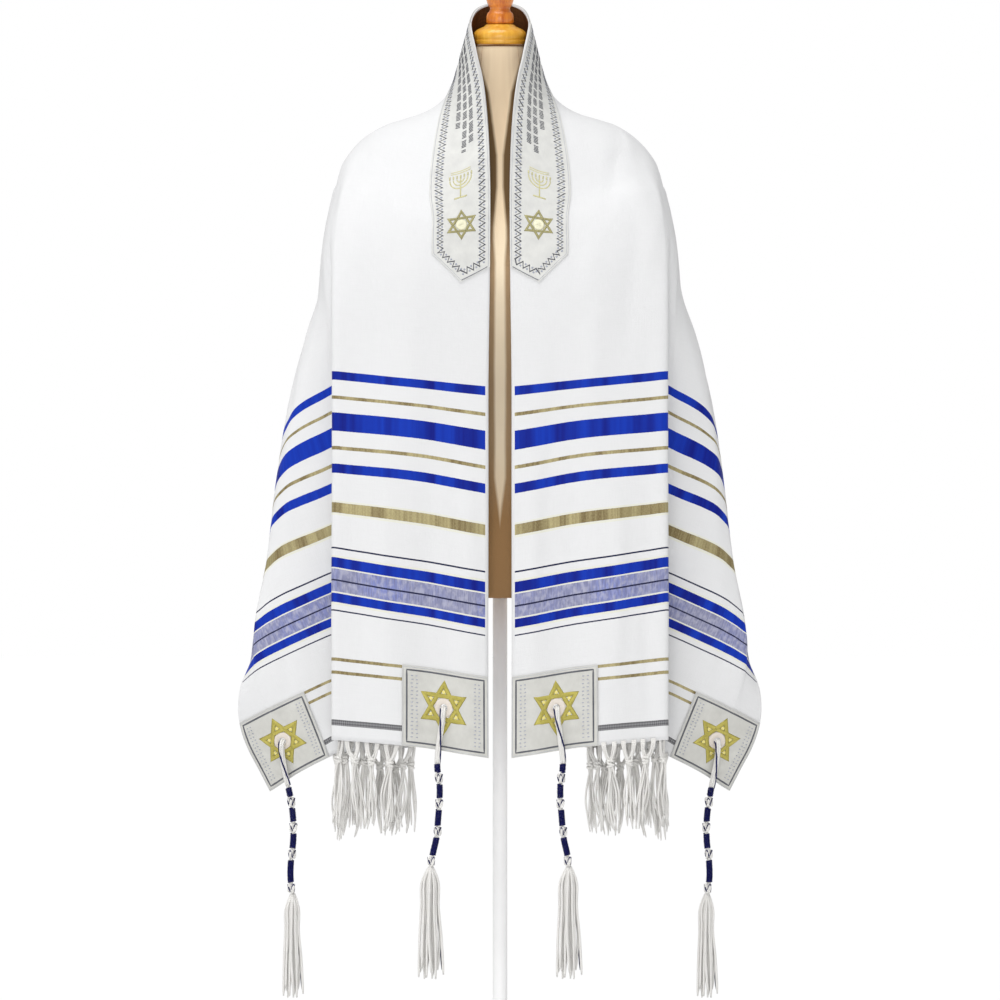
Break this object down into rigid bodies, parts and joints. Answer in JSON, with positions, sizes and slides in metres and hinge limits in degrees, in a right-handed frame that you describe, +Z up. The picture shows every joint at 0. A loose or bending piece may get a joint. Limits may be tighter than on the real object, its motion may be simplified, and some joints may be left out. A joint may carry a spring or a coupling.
{
  "type": "tallit prayer shawl on a limbless dress form",
  "caption": "Striped prayer shawl with neckband, corner patches and knotted corner fringes, draped over a limbless dress form on a plain pole stand.",
  "frame": {"origin": "centre of the stand's base plate, on the floor", "axes": "+Z up, -Y towards the front opening of the shawl, +X towards the right of a viewer who faces the front"},
  "size_m": [0.5754, 0.36, 1.3281],
  "materials": {
    "cloth": "matt white weave with woven blue and gold stripes",
    "satin": "pale silver satin with embroidery",
    "cotton": "twisted off-white cotton cord",
    "blue_thread": "wound navy thread",
    "form_fabric": "beige stretch cover",
    "cap_wood": "amber varnished turned wood",
    "finial_wood": "red-brown varnished turned wood",
    "white_paint": "satin white paint"
  },
  "bodies": {
    "root": {"shawl": "cloth", "neckband": "satin", "patch_inner_right": "satin", "patch_inner_left": "satin", "patch_outer_right": "satin", "patch_outer_left": "satin", "fringe_right": "cotton", "fringe_left": "cotton", "tzitzit_inner_right_cord": "cotton", "tzitzit_inner_left_cord": "cotton", "tzitzit_outer_right_cord": "cotton", "tzitzit_outer_left_cord": "cotton", "tzitzit_inner_right_tassel": "cotton", "tzitzit_inner_left_tassel": "cotton", "tzitzit_outer_right_tassel": "cotton", "tzitzit_outer_left_tassel": "cotton", "tzitzit_inner_right_windings": "blue_thread", "tzitzit_inner_left_windings": "blue_thread", "tzitzit_outer_right_windings": "blue_thread", "tzitzit_outer_left_windings": "blue_thread", "form_torso": "form_fabric", "form_cap": "cap_wood", "form_finial": "finial_wood", "stand_pole": "white_paint", "stand_base": "white_paint"}
  },
  "joints": []
}
